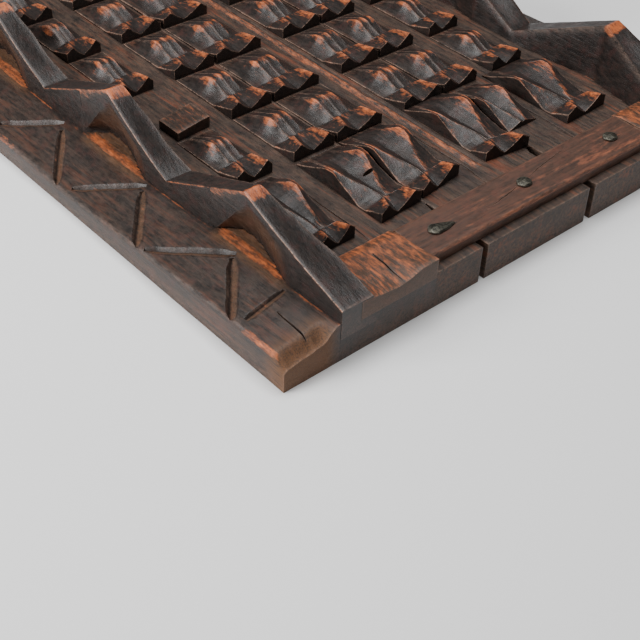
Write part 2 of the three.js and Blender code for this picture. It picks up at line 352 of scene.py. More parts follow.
# %% Carve the ridges
RIDGE_KNOTS = [(0, 49.0)]
for peak, valley in zip(PEAKS, VALLEYS + (None,)):
    RIDGE_KNOTS += [(peak - 4, PEAK_Z - 2.6), (peak + 2.5, PEAK_Z)]
    if valley:
        RIDGE_KNOTS.append((valley, VALLEY_Z))
RIDGE_KNOTS.append((LENGTH, 49.0))
WIDTH_KNOTS = [(0, 31.5), (44, 34)]
for peak, valley in zip(PEAKS, VALLEYS + (None,)):
    WIDTH_KNOTS += [(peak - 28, 25), (peak - 2, 18.5), (peak + 3, 16.8)]
    if valley:
        WIDTH_KNOTS += [(valley, 27), (valley + 30, 25)]
WIDTH_KNOTS += [(LENGTH - 44, 34), (LENGTH, 31.5)]
RIDGE_SPREAD = 5


def rising(y):
    """How far along a rising slope towards a peak, as a hump between 0 and 1."""
    starts = (0,) + VALLEYS
    for start, peak in zip(starts, PEAKS):
        if start < y < peak:
            return math.sin(math.pi * (y - start) / (peak - start))
    return 0.0


# How far the foot is cut in, by the distance along the door from the peak above it
CUT_KNOTS = ((-50, 0), (-33, 5), (-21, 10), (-6, 14), (6, UNDERCUT), (22, UNDERCUT), (31, 10),
             (38, 4), (43, 0))
LIP_BELOW = 7
LIP_START, LIP_FALL = 11, 1.14


def ridge_cut(y, z_left):
    """How far the outer wall is cut in at its foot, and the height where the cut starts."""
    peak = min(PEAKS, key=lambda at: abs(y - at))
    off = y - peak
    lip = z_left - LIP_BELOW
    if off > 0:
        lip = min(lip, PEAK_Z - LIP_START - LIP_FALL * off)
    if not CUT_KNOTS[0][0] < off < CUT_KNOTS[-1][0]:
        return 0.0, z_left - LIP_BELOW
    ragged = 1 + 0.12 * bumps(y, 0, 160, 7)
    return along(CUT_KNOTS, off) * ragged, max(lip + bumps(y, 4, 165, 6), FIELD_Z + 2)


WALL_STEPS, LIP_STEPS, TOP_STEPS, INNER_STEPS = 13, 9, 11, 7


def ridge_surface(ys, flip):
    foot_z = FIELD_Z - 13

    def surface(i, j):
        y = ys[j]
        seed = 140 if flip else 100
        z_left = along(RIDGE_KNOTS, y) + 0.25 * bumps(y, 0, seed, 11)
        sag = 5 * rising(y)
        width = along(WIDTH_KNOTS, y) + 0.5 * bumps(y, 5, seed, 14)
        bow = 1.3 * rising(y)
        marks = [0.0, 0.0, 0.0, 0.0]
        near_peak = max(1 - abs(y - peak + 1) / 9 for peak in PEAKS)
        if i <= WALL_STEPS:
            cut_in, lip = ridge_cut(y, z_left)
            if i <= LIP_STEPS:
                z = lerp(foot_z, lip, i / LIP_STEPS)
            else:
                z = lerp(lip + 0.8, z_left, (i - LIP_STEPS - 1) / (WALL_STEPS - LIP_STEPS - 1))
            t = (z - foot_z) / (z_left - foot_z)
            share = min(1, max(0, (lip - z) / (lip - FIELD_Z - 0.5)))
            x = BORDER - bow * t + cut_in * share
            rough = smooth(cut_in / 5) * smooth(share * 5)
            x += rough * (0.8 * bumps(x, y, z + seed, 6) + 0.5 * bumps(x, y, z, 2.2))
            x += 0.25 * (1 - rough) * bumps(x, y, z + seed, 9) * smooth((t - 0.3) * 4)
            marks[1] = 0.3 * rough * (1 - smooth(share * 1.4 - 0.4))
            if i == WALL_STEPS:
                z -= 0.35
                slope_down = 1 if rising(y) > 0 else 0
                marks[0] = 0.5 + 0.2 * (1 - slope_down) + 0.5 * smooth(near_peak * 1.6)
                # The arris where the ridge falls towards the lower end faces the lamp, so its edge
                # line gets a painted highlight.
                marks[3] = slope_down
        elif i <= WALL_STEPS + TOP_STEPS:
            t = (i - WALL_STEPS) / TOP_STEPS
            t = (t - 1 / TOP_STEPS) / (1 - 1 / TOP_STEPS)
            inset = 0.9 * (1 - t) - 0.9 * t
            x = BORDER - bow + width * t + inset
            hollow = 1.4 * math.sin(math.pi * t) * rising(y)
            z = lerp(z_left, z_left - 0.6 - sag * smooth(t * 1.1), t) - hollow
            z += 0.22 * bumps(x, y, seed, 9, 1.8)
            marks[0] = smooth(near_peak * 1.5)
        else:
            t = (i - WALL_STEPS - TOP_STEPS) / INNER_STEPS
            x = BORDER - bow + width + RIDGE_SPREAD * t
            top = z_left - 0.9 - sag
            z = lerp(top, foot_z, t ** 1.1)
            marks[0] = 0.35 * (1 - smooth(t * 6)) + smooth(near_peak * 1.5) * (1 - smooth(t * 5))
        return (WIDTH - x if flip else x, y, z), marks
    return surface


def ridge(flip):
    ys = steps(0.15, FINE_UNTIL, 2) + steps(FINE_UNTIL, LENGTH, COARSE_STEP)[1:]
    columns = WALL_STEPS + TOP_STEPS + INNER_STEPS + 1
    return sheet_body("ridge", columns, len(ys), ridge_surface(ys, flip), FIELD_Z - 14)


add(left_plank, [ridge(False)])
add(right_plank, [ridge(True)])
print(f"left plank with its ridge has {len(left_plank.data.vertices)} vertices")

# %% [markdown]
# ## The end blocks
# A raised block at each end of a side plank holds the batten in line. Their tops are the most
# handled part of the door, so they are worn to a wavy, warm brown surface.

# %% Carve the end blocks
BLOCK_EDGE = [(74, 48.0), (83, 47.6), (93, 45.4), (112, 43.5), (124, 45.3), (136, 49.2),
              (150, 49.6), (190, 48.6)]


def block(x0, x1, y0, y1, worn):
    xs, ys = steps(x0, x1, 2), steps(y0, y1, 2)

    def surface(i, j):
        x, y = xs[i], ys[j]
        inward = (y - y0) / (y1 - y0) if worn else (y1 - y) / (y1 - y0)
        measure = x if x < WIDTH / 2 else WIDTH - x
        z = lerp(along(BLOCK_EDGE, measure), 47.5, smooth(inward * 2.2))
        z -= 2.2 * smooth((inward - 0.8) * 5)
        z += 0.35 * bumps(x, y, 210, 13, 2) + 0.14 * bumps(x, y, 220, 3, 4)
        rim = min(i, len(xs) - 1 - i, j, len(ys) - 1 - j)
        z -= 0.7 if rim == 0 else 0.0
        return (x, y, z), (0.42 + 0.12 * inward, 0.3, 0.25)

    return sheet_body("block", len(xs), len(ys), surface, FIELD_Z - SINK)


BLOCK_LEFT_END = (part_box("batten_lower")[0][0] - corner.x) / MM - 0.3
BLOCK_RIGHT_END = (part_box("batten_lower")[1][0] - corner.x) / MM + 0.3
RIDGE_COVER = BORDER + 20
top_y = LENGTH - BLOCK_LENGTH
add(left_plank, [
    block(RIDGE_COVER, BLOCK_LEFT_END, 0.05, BLOCK_LENGTH, True),
    block(RIDGE_COVER, BLOCK_LEFT_END, top_y, LENGTH, False),
])
add(right_plank, [
    block(BLOCK_RIGHT_END, WIDTH - RIDGE_COVER, 0.05, BLOCK_LENGTH, True),
    block(BLOCK_RIGHT_END, WIDTH - RIDGE_COVER, top_y, LENGTH, False),
])
print(f"blocks end at {BLOCK_LEFT_END:.1f} and {BLOCK_RIGHT_END:.1f} mm")

# %% [markdown]
# ## The figures
# Every figure has two lobes in front, which rise forwards from a straight rim, with a valley
# between them and a straight cut face below. Behind the rim is the body. In the first row it
# is broad and has two peaks. A hip runs from each peak down to the middle of the rim, and
# the knife took out the hollow between the hips. In the other rows it is a small roof with
# one blunt top. Five lines run back over each figure, and every station along it says where
# the lines are, how high they stand and how much they are rubbed. Extra lines close beside
# them keep the crests crisp and slightly worn.

# %% Stations of the figures
# Each station: distance from the front, the five lines' shares of the width, heights, wear
BROAD_LOBES = (
    (0, (0, 0.18, 0.47, 0.84, 1), (9, 14.6, 2.8, 14.6, 10.5), (0.3, 0.6, 0.1, 0.8, 0.4)),
    (9, (0, 0.31, 0.485, 0.88, 1), (5.6, 10.1, 3.7, 10.7, 8), (0.2, 0.85, 0.1, 1, 0.4)),
    (19, (0, 0.46, 0.5, 0.93, 1), (1.6, 4.9, 4.7, 6.2, 5), (0.5, 0.6, 0.6, 0.8, 0.5)),
)
BROAD_BODY = (
    (20.2, (0, 0.45, 0.5, 0.55, 1), (1.0, 4.6, 4.4, 4.7, 3.2), (0.1, 0.3, 0.3, 0.4, 0.2)),
    (28, (0, 0.42, 0.49, 0.58, 1), (0.8, 6.4, 5.0, 6.2, 1.2), (0.3, 0.25, 0.0, 0.5, 0.1)),
    (54, (0, 0.15, 0.43, 0.79, 1), (13.6, 14.0, 6.8, 11.2, 7.2), (0.5, 0.4, 0.0, 0.6, 0.2)),
    (61, (0, 0.06, 0.41, 0.86, 1), (16.6, 17.0, 7.4, 13.2, 10.4), (0.9, 1, 0.1, 0.7, 0.4)),
    (68, (0, 0.05, 0.4, 0.9, 1), (16, 16.3, 7.9, 14.8, 13), (0.7, 0.9, 0.1, 1, 0.9)),
    (75, (0, 0.07, 0.4, 0.88, 1), (13.4, 13.7, 8.4, 14.4, 13.6), (0.3, 0.5, 0.1, 0.9, 0.7)),
    (84, (0, 0.12, 0.42, 0.7, 1), (9.4, 9.8, 8.9, 11.4, 11), (0.1, 0.2, 0.15, 0.45, 0.3)),
    (95, (0, 0.2, 0.45, 0.7, 1), (4.6, 5, 5, 5.8, 4.6), (0.1, 0.1, 0.1, 0.1, 0.1)),
    (105.5, (0, 0.25, 0.5, 0.75, 1), (0.8, 0.9, 0.9, 0.9, 0.8), (0.3, 0.2, 0.2, 0.2, 0.1)),
)
NARROW_LOBES = (
    (0, (0, 0.18, 0.49, 0.86, 1), (10, 14.4, 3.6, 14.2, 9), (0.3, 0.6, 0.1, 0.8, 0.4)),
    (12, (0, 0.31, 0.495, 0.9, 1), (6, 10.4, 4.4, 10.6, 7), (0.2, 0.85, 0.1, 1, 0.4)),
    (25.2, (0, 0.44, 0.5, 0.93, 1), (2.2, 5.8, 5.4, 6.6, 4.8), (0.5, 0.6, 0.6, 0.8, 0.5)),
)
NARROW_BODY = (
    (26.4, (0, 0.32, 0.5, 0.72, 1), (1.4, 5.7, 5.8, 5.5, 2.2), (0.1, 0.3, 0.2, 0.3, 0.1)),
    (36, (0, 0.3, 0.49, 0.7, 1), (1.2, 9.8, 9.8, 9.3, 1.2), (0.1, 0.25, 0, 0.25, 0)),
    (43, (0, 0.28, 0.48, 0.68, 1), (1.2, 13.9, 13.8, 13.2, 1.2), (0, 0.7, 0.6, 0.7, 0)),
    (48, (0, 0.27, 0.47, 0.66, 1), (1.2, 14.9, 14.8, 14.3, 1.2), (0, 1.1, 1.1, 1.1, 0)),
    (53, (0, 0.27, 0.47, 0.66, 1), (1.1, 13.7, 13.8, 13.3, 1.1), (0, 0.6, 0.5, 0.6, 0)),
    (65, (0, 0.28, 0.47, 0.66, 1), (1.0, 9, 9.1, 8.8, 1), (0, 0.15, 0.1, 0.1, 0)),
    (76, (0, 0.31, 0.49, 0.66, 1), (0.9, 3.6, 3.7, 3.6, 0.9), (0.1, 0.1, 0.1, 0.1, 0.1)),
    (83, (0, 0.34, 0.5, 0.66, 1), (0.8, 0.9, 0.9, 0.9, 0.8), (0.2, 0.2, 0.2, 0.2, 0.1)),
)
FINE = dict(split=(0, 0.06, 0.24, 0.43, 0.62, 0.81, 0.94), gap=1.4)
COARSE = dict(split=(0, 0.1, 0.5, 0.9), gap=4)
STATION_ROUND = 0.5


def station_rows(stations, gap):
    """Fills in rows between the stations. The crests across are left blunt."""
    rows = [stations[0]]
    for a, b in zip(stations, stations[1:]):
        for at in steps(a[0] + STATION_ROUND, b[0] - STATION_ROUND, gap):
            t = (at - a[0]) / (b[0] - a[0])
            rows.append((at, *[[lerp(p, q, t) for p, q in zip(a[k], b[k])] for k in (1, 2, 3)]))
    rows.append(stations[-1])
    return rows


# %% Carve one figure
def figure(x0, x1, front, front_right, stations, valley, tall, quality):
    split, gap = quality["split"], quality["gap"]
    rows = station_rows(stations, gap)
    length = stations[-1][0]
    columns = 4 * len(split) + 1
    seed = x0 * 0.37 + front * 0.11

    def surface(i, j):
        t, shares, heights, wear = rows[j]
        line, part = divmod(i, len(split))
        nxt, s = min(4, line + 1), split[part]
        share = lerp(shares[line], shares[nxt], s)
        pull = 1 - abs(2 * share - 1)
        share += (valley - 0.5) * pull * (1 - smooth(t / 30))
        z = lerp(heights[line], heights[nxt], s) * tall
        rub = wear[line] * (1 - s) ** 2.4 + wear[nxt] * s ** 2.4
        steep = abs(heights[line] - heights[nxt])
        hollow = 0.35 + 0.11 * max(0, steep - 5)
        beside = heights[max(line - 1, 0)], heights[nxt]
        if part == 0 and 0 < line < 4 and heights[line] > max(beside) - 0.4:
            z -= 0.4
        elif part:
            z -= hollow * math.sin(math.pi * s)
        skew = (front_right - front) * share * (1 - t / length)
        wobble = 0.6 * bumps(share * 8, t, seed, 12)
        x = lerp(x0, x1, share) + (0 if i in (0, columns - 1) else 0.5 * wobble)
        y = front + t + skew + (0 if j == 0 else wobble)
        z += 0.4 * bumps(x, y, seed + 7, 12) + 0.14 * bumps(x, y, seed + 3, 3.4)
        bare = smooth((3 - z) / 2.5)
        # Painted highlight on the edge line: strong on the lobes and the two left lines, which face
        # the lamp.
        shine = 0.6 if t < 24 or line in (0, 1) else 0.25
        return (x, y, FIELD_Z + max(z, 0.4)), (rub, 0.0, 0.7 * bare, shine)

    return sheet_body("figure", columns, len(rows), surface, FIELD_Z - SINK)


print(f"a broad figure has {len(station_rows(BROAD_LOBES + BROAD_BODY, 1.4))} rows")

# %% [markdown]
# ## Setting out the rows
# The figures stand in six columns. Each was cut by eye, so the first row follows the measured
# figures one by one, and the rows beyond repeat their columns with small, seeded differences.

# %% Carve all the figures
ROW_2 = 183.6
ROW_PITCH = 85.5
ROWS = 7
COLUMNS = (
    dict(plank="left", first=(97, 133.5), rest=(102.6, 140), front=(73.5, 73.5), valley=0.55),
    dict(plank="left", first=(163, 209.8), rest=(163.8, 209.8), front=(73.5, 76), valley=0.44),
    dict(plank="middle", first=(213, 262), rest=(213, 266.5), front=(77, 83.5), valley=0.44),
    dict(plank="middle", first=(294.5, 341.8), rest=(294.5, 341.8), front=(82.5, 76), valley=0.47),
    dict(plank="right", first=(345, 381), rest=(345, 389), front=(73.5, 73.5), valley=0.5),
    dict(plank="right", first=(398, 451), rest=(411, 451), front=(79, 80), valley=0.51),
)
LOST_FRONT = 4
PLAIN = (0, 2)
FINE_ROWS = 3


def plain_block(x0, x1, y0):
    """A figure that was only blocked out."""
    def surface(i, j):
        x, y = lerp(x0, x1, i / 12), y0 + 28 * j / 9 + 3 * i / 12
        z = FIELD_Z + 8.7 + 2.4 * i / 12 + 0.4 * bumps(x, y, 300, 9)
        rim = i in (0, 12) or j in (0, 9)
        return (x, y, z - 0.5 * rim), (0.32, 0.1, 0.35)
    return sheet_body("block", 13, 10, surface, FIELD_Z - SINK)


def column_figures(index):
    spec = COLUMNS[index]
    broad = BROAD_BODY[1:] if index == LOST_FRONT else BROAD_LOBES + BROAD_BODY
    made = [figure(*spec["first"], *spec["front"], broad, spec["valley"], 1, FINE)]
    for row in range(1, ROWS):
        y = ROW_2 + (row - 1) * ROW_PITCH
        drift = 0 if row == 1 else 1
        shift = 1.2 * drift * noise.noise(Vector((index * 3.1, row * 1.7, 5)))
        if (index, row) == PLAIN:
            made.append(plain_block(105, 141.5, y))
            continue
        x0, x1 = spec["rest"]
        tall = 1 + 0.08 * drift * noise.noise(Vector((row * 2.3, index * 1.9, 8)))
        valley = 0.5 + 0.05 * noise.noise(Vector((row * 1.3, index * 2.9, 2)))
        quality = FINE if row <= FINE_ROWS else COARSE
        x0 += max(shift, 0)
        stations = NARROW_LOBES + NARROW_BODY
        made.append(figure(x0, x1, y + shift, y, stations, valley, tall, quality))
    return made


for index, spec in enumerate(COLUMNS):
    if spec["plank"] != "middle":
        add(left_plank if spec["plank"] == "left" else right_plank, column_figures(index))
print("figures of the side planks are carved")

# %% [markdown]
# ## The middle plank
# It carries the third and fourth columns, with a low moulding between them.

# %% Carve the middle plank
MOULDING_X = 284.5


def middle_surface(xs, ys):
    def surface(i, j):
        x, y = xs[i], ys[j]
        z = ground_z(x, y)
        reach = smooth((y - 76) / 10) * (1 - smooth((y - 696) / 8))
        off = abs(x - MOULDING_X)
        z += reach * (1.7 * (1 - smooth((off - 1) / 2.4)) - 0.9 * (1 - smooth(abs(off - 4.6) / 1.8)))
        rub = reach * 0.55 * (1 - smooth((off - 2) / 4))
        if i in (0, len(xs) - 1):
            z -= 0.6
        return (x, y, z), (rub, 0.0, 1.0)
    return surface


xs = steps(SEAM_MIDDLE[0], SEAM_MIDDLE[1], FINE_STEP)
ys = plank_steps()
middle_plank = sheet_body("plank", len(xs), len(ys), middle_surface(xs, ys), 0)
for index in (2, 3):
    add(middle_plank, column_figures(index))
print(f"middle plank has {len(middle_plank.data.vertices)} vertices")

# %% [markdown]
# ## Grooves, joints, holes and splits
# What was cut or worn away comes last. A groove along the border is a V with its floor above
# the wood, cut out of the plank. A split is the same V, thin and wandering along the grain.

# %% Cut the grooves of the borders
GROOVES = (
    ((7.4, 53.2), (47.5, 57.8), 3.4, 2.2), ((-1.7, 59.4), (42.8, 113.6), 4.6, 3.4),
    ((47, 115.3), (2, 176), 4.3, 3.0), ((0.2, 183.6), (43, 235), 4.5, 3.2),
    ((49, 238), (6, 286), 4.2, 3.0), ((0.3, 300), (42.2, 356.4), 4.5, 3.3),
    ((48.7, 363), (8.8, 407), 4.2, 3.0),
)
FAR_TURNS = ((2, 415), (45, 478), (2, 536), (45, 598), (2, 657), (45, 716))


# Places across a groove, in halves of its width, and how deep each lies. One side is steep.
GROOVE_ACROSS = ((-1.3, 0.35), (-0.75, -0.35), (-0.4, -1), (0.1, -0.72), (0.6, -0.3), (1.2, 0.15))


def v_groove(start, end, half, depth, flip, wander=0.5):
    run = Vector(end) - Vector(start)
    side = Vector((run.y, -run.x)).normalized()
    side *= 1 if run.x > 0 and run.y > 0 else -1
    rows = max(4, round(run.length / 3))

    def surface(i, j):
        t = j / rows
        place, low = GROOVE_ACROSS[i]
        drift = wander * bumps(start[0] + j * 3, start[1], 400, 12)
        narrow = 0.55 + 0.45 * smooth(min(t, 1 - t) * 6)
        across = place * half * narrow + drift
        x, y = Vector(start) + run * t + side * across
        base = border_z(min(max(x, 0), BORDER), y)
        z = base + depth * low * narrow
        z += 0.3 * bumps(x, y, 410, 3) * (abs(place) < 1)
        # The last mark lifts the groove's edge line with a painted highlight.
        marks = (0.15, 0.3 if place > 0 else 0.05, 0.5 if place > 0 else 0, 0.8)
        return (WIDTH - x if flip else x, y, z), marks

    return sheet_body("groove", len(GROOVE_ACROSS), rows + 1, surface, 60)


for plank, flip in ((left_plank, False), (right_plank, True)):
    far = [(a, b, 4.3, 3.1) for a, b in zip(FAR_TURNS, FAR_TURNS[1:])]
    cut(plank, [v_groove(*groove, flip) for groove in GROOVES + tuple(far)])
print(f"cut {len(GROOVES) + len(FAR_TURNS) - 1} grooves on each border")

# %% Cut the open joints, the hole and the splits
def pit(xs, ys, bottom, name="pit", round_by=0.0):
    """A hole with rough sides, open above, between two lists of places."""
    def surface(i, j):
        x, y = xs[i], ys[j]
        rim = i in (0, len(xs) - 1) or j in (0, len(ys) - 1)
        z = 58 if rim else bottom
        wave = 0.5 * bumps(x, y, 500, 5)
        pinch = 1 - round_by * (2 * i / (len(xs) - 1) - 1) ** 2
        middle = (ys[0] + ys[-1]) / 2
        return (x + wave, middle + (y - middle) * pinch, z), (0, 0.6, 0.2)
    return sheet_body(name, len(xs), len(ys), surface, 70)


def split(points, width, depth, base=FIELD_Z, flip=False):
    """A crack through the given places, widest in the middle."""
    rows = 3 * (len(points) - 1)

    def surface(i, j):
        t = j / 3
        k = min(len(points) - 2, int(t))
        place = Vector(points[k]).lerp(Vector(points[k + 1]), t - k)
        run = (Vector(points[k + 1]) - Vector(points[k])).normalized()
        side = Vector((-run.y, run.x))
        open_by = width * math.sin(math.pi * (j + 0.4) / (rows + 0.8))
        wander = 0.5 * width * bumps(place.x, place.y, 520, 6)
        x, y = place + side * ((i - 1) * open_by * 1.5 + wander)
        z = base + (3 * depth * abs(i - 1) - depth) * max(0.3, open_by / width)
        return (WIDTH - x if flip else x, y, z), (0, 0.3, 0)

    return sheet_body("split", 3, rows + 1, surface, base + 20)


def slot_cut(x0, x1, reach, low=-3):
    xs = steps(x0, x1, 3)
    ys = steps(-4, reach, 4)

    def surface(i, j):
        taper = smooth((reach - ys[j]) / 9)
        middle = (x0 + x1) / 2
        x = middle + (xs[i] - middle) * (0.45 + 0.55 * taper) + 0.4 * bumps(ys[j], 0, 530, 9)
        return (x, ys[j], low), (0, 0.5, 0.3)
    return sheet_body("slot", len(xs), len(ys), surface, FIELD_Z + 30)


cut(left_plank, [
    slot_cut(SEAM_LEFT - 6.3, SEAM_LEFT + 2, 43),
    slot_cut(SEAM_LEFT - 3, SEAM_LEFT + 2, 70),
    pit(steps(187.5, 201, 2.2), steps(121, 127, 2), FIELD_Z - 6, round_by=0.85),
    split([(140, 60), (141.5, 90), (141, 128), (143, 150)], 0.7, 2.5),
    split([(27, 0), (27.5, 20), (29, 44)], 0.9, 3, base=31),
    split([(118, -2), (117, 16), (119, 38)], 0.8, 3, base=45),
])
cut(middle_plank, [
    slot_cut(SEAM_MIDDLE[1] - 7.5, SEAM_MIDDLE[1] + 2, 76),
    split([(272, 58), (275, 92), (273, 140), (276, 190)], 0.6, 2.5),
])
cut(right_plank, [
    split([(386, 60), (387.5, 110), (386, 165), (388, 240)], 0.7, 2.5),
])
print("open joints and splits are cut")

# %% [markdown]
# ## Battens
# The batten is a plain strip, reddish where hands and weather have rubbed the patina off. Its
# grain runs across the door, with long shallow furrows, and a split runs through one nail.

# %% Carve the battens
BATTEN_LOW = [(value - edge) / MM for value, edge in zip(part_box("batten_lower")[0], corner)]
BATTEN_HIGH = [(value - edge) / MM for value, edge in zip(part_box("batten_lower")[1], corner)]
NAIL_PLACES = [
    tuple((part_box(f"nail_{end}_{k}")[0][n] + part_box(f"nail_{end}_{k}")[1][n]) / 2 for n in (0, 1))
    for end in ("lower", "upper") for k in (1, 2, 3)
]
BATTEN_ROUND = ((0, 2.6), (0.4, 1.2), (1.6, 0.3), (3.4, 0))


def batten(y0, y1, seed):
    x0, x1, top = BATTEN_LOW[0], BATTEN_HIGH[0], BATTEN_HIGH[2]
    xs = steps(x0, x1, 1.8)
    ends = [y0 + at for at, drop in BATTEN_ROUND]
    ys = ends + steps(y0 + 5, y1 - 5, 1.5) + [y1 - at for at, drop in reversed(BATTEN_ROUND)]
    drops = [drop for at, drop in BATTEN_ROUND]

    def surface(i, j):
        x, y = xs[i], ys[j]
        back = len(ys) - 1 - j
        drop = drops[min(j, back)] if min(j, back) < len(drops) else 0
        furrow = bumps(y * 2.2, x, seed, 4, 22) + 0.6 * bumps(y * 2, x, seed + 9, 1.8, 16)
        z = top - drop - 0.35 - 0.3 * abs(furrow)
        nibble = 0.8 * abs(bumps(x, 0, seed + 4, 14)) * (1 - smooth(j / 4))
        z -= nibble
        cup = 0.5 * math.sin(math.pi * (y - y0) / (y1 - y0))
        rub = 0.75 * smooth(bumps(y * 2.5, x, seed + 20, 14, 5) * 1.6 + 0.35)
        rub = max(rub * (1 - smooth((j - 5) / 14) * 0.6), 0.8 * (1 - smooth(j / 4)))
        return (x, y, z - cup), (rub, 0.1, 0.3)

    floor = BATTEN_LOW[2]
    return sheet_body("batten", len(xs), len(ys), surface, floor)


NAIL_SHANK = 3.4


def shank_hole(x, y):
    half = NAIL_SHANK / 2 + 0.3
    places = [-half, half]
    top = BATTEN_HIGH[2]

    def surface(i, j):
        return (x + places[i], y + places[j], top - 8.3), (0, 0, 0)
    return sheet_body("hole", 2, 2, surface, top + 4)


lower_batten = batten(BATTEN_LOW[1], BATTEN_HIGH[1], 600)
upper_batten = batten(LENGTH - BATTEN_HIGH[1], LENGTH - BATTEN_LOW[1], 640)
for strip, places in ((lower_batten, NAIL_PLACES[:3]), (upper_batten, NAIL_PLACES[3:])):
    holes = [((x - corner.x) / MM, (y - corner.y) / MM) for x, y in places]
    cut(strip, [shank_hole(*hole) for hole in holes[1:]])
cut(lower_batten, [
    split([(232, 24), (252, 27), (270, 29.5), (279, 32)], 0.8, 4, base=BATTEN_HIGH[2]),
    split([(290, 33), (310, 38), (330, 41), (352, 44.5)], 0.7, 4, base=BATTEN_HIGH[2]),
])
print(f"battens run from {BATTEN_LOW[0]:.1f} to {BATTEN_HIGH[0]:.1f} mm")

# %% [markdown]
# ## Nails
# A smith's nail has a head that was hammered flat by a few blows, so it is a low dome of
# uneven facets. It starts as a sphere. Each blow is a plane, and what stands above the plane
# is pushed down to it. The first nail bent over when it was driven, and lies along the batten.

# %% Forge the nails
BLOWS = ((0.0, 0.1, 0.86), (0.5, 0.2, 0.8), (-0.45, 0.35, 0.78), (0.1, -0.55, 0.76), (-0.3, -0.4, 0.8))
HEAD = (7.2, 6.3, 3.4)


def nail(name, x, y, turn, tail=0.0):
    bm = bmesh.new()
    bmesh.ops.create_uvsphere(bm, u_segments=26, v_segments=16, radius=1)
    for vert in bm.verts:
        rough = 1 + 0.13 * bumps(*vert.co * 10, 7) * 0.9 + 0.05 * turn * vert.co.x
        vert.co *= rough
        for dx, dy, reach in BLOWS:
            blow = Matrix.Rotation(turn * 1.7, 3, "Z") @ Vector((dx, dy, 1)).normalized()
            past = vert.co.dot(blow) - reach
            if past > 0:
                vert.co -= blow * past
        vert.co.z = max(vert.co.z, -0.05)
        size = Vector(HEAD)
        vert.co = Vector((vert.co.x * size.x, vert.co.y * size.y, vert.co.z * size.z))
        if tail and vert.co.x > 0:
            t = vert.co.x / size.x
            vert.co.x += tail * t ** 1.5
            vert.co.y *= 1 - 0.42 * t
            vert.co.y -= 2.5 * t
            vert.co.z *= 1 - 0.35 * t
    half = NAIL_SHANK / 2 - 0.1
    shank = bmesh.ops.create_cube(bm, size=1)["verts"]
    bmesh.ops.scale(bm, vec=(2 * half, 2 * half, 8), verts=shank)
    bmesh.ops.translate(bm, vec=(0, 0, -3.6), verts=shank)
    bmesh.ops.translate(bm, vec=(x, y, BATTEN_HIGH[2] - 0.1), verts=bm.verts)
    bmesh.ops.transform(bm, matrix=Matrix.Scale(MM, 4), verts=bm.verts)
    bmesh.ops.translate(bm, vec=corner, verts=bm.verts)
    mesh = bpy.data.meshes.new(name)
    bm.to_mesh(mesh)
    bm.free()
    made = bpy.data.objects.new(name, mesh)
    bpy.context.scene.collection.objects.link(made)
    return made


NAIL_X = (180, 283.5, 395)
NAIL_Y = (BATTEN_LOW[1] + BATTEN_HIGH[1]) / 2
nails = []
for end, y in (("lower", NAIL_Y), ("upper", LENGTH - NAIL_Y)):
    for k, x in enumerate(NAIL_X, 1):
        tail = 12.0 if (end, k) == ("lower", 1) else 0.0
        nails.append((nail(f"forged_nail_{end}_{k}", x, y, k, tail), f"nail_{end}_{k}"))
print(f"forged {len(nails)} nails")

# %% [markdown]
# ## Finishes
# The wood is nearly black with smoke, wax and handling, and brown or orange only where edges
# are rubbed or the surface is raw. Proud edges also get a pale line, partly rubbed wood and
# partly a painted highlight. One builder makes both woods. Its grain is noise drawn
# out along the planks, or across them on the battens. The marks on the vertices say where
# the patina is rubbed off and where a painted highlight lightens an edge, and noise breaks
# up the borders of every patch.

# %% A short way to lay out nodes
def nodes_of(name):
    material = bpy.data.materials.new(name)
    material.use_nodes = True
    tree = material.node_tree
    tree.nodes.clear()

    def put(kind, sockets=None, **settings):
        node = tree.nodes.new(kind)
        for key, value in settings.items():
            setattr(node, key, value)
        for key, value in (sockets or {}).items():
            if isinstance(value, bpy.types.NodeSocket):
                tree.links.new(value, node.inputs[key])
            else:
                node.inputs[key].default_value = value
        return node

    def place(scale, turn=(0, 0, 0)):
        object_place = put("ShaderNodeTexCoord").outputs["Object"]
        node = put("ShaderNodeMapping", {"Vector": object_place, "Scale": scale, "Rotation": turn})
        return node.outputs["Vector"]

    def cloud(vector, scale, detail=3, rough=0.55):
        sockets = {"Vector": vector, "Scale": scale, "Detail": detail, "Roughness": rough}
        return put("ShaderNodeTexNoise", sockets).outputs["Fac"]

    def math_of(kind, a, b=0.0, clamp=False):
        return put("ShaderNodeMath", {0: a, 1: b}, operation=kind, use_clamp=clamp).outputs[0]

    def ramp(value, low, high, top=1.0):
        sockets = {"Value": value, "From Min": low, "From Max": high, "To Min": 0.0, "To Max": top}
        return put("ShaderNodeMapRange", sockets).outputs["Result"]

    def mark(key):
        return put("ShaderNodeAttribute", attribute_name=key).outputs["Fac"]

    def blend(fac, a, b, kind="MIX"):
        node = put("ShaderNodeMix", data_type="RGBA", blend_type=kind)
        for socket, value in ((0, fac), (6, a), (7, b)):
            if isinstance(value, bpy.types.NodeSocket):
                tree.links.new(value, node.inputs[socket])
            else:
                node.inputs[socket].default_value = value
        return node.outputs[2]

    return material, put, place, cloud, math_of, ramp, mark, blend


def shade(r, g, b):
    """A colour as it looks, 0 to 255, as the linear colour that the nodes need."""
    def linear(value):
        value /= 255
        return value / 12.92 if value < 0.04045 else ((value + 0.055) / 1.055) ** 2.4
    return (linear(r), linear(g), linear(b), 1)


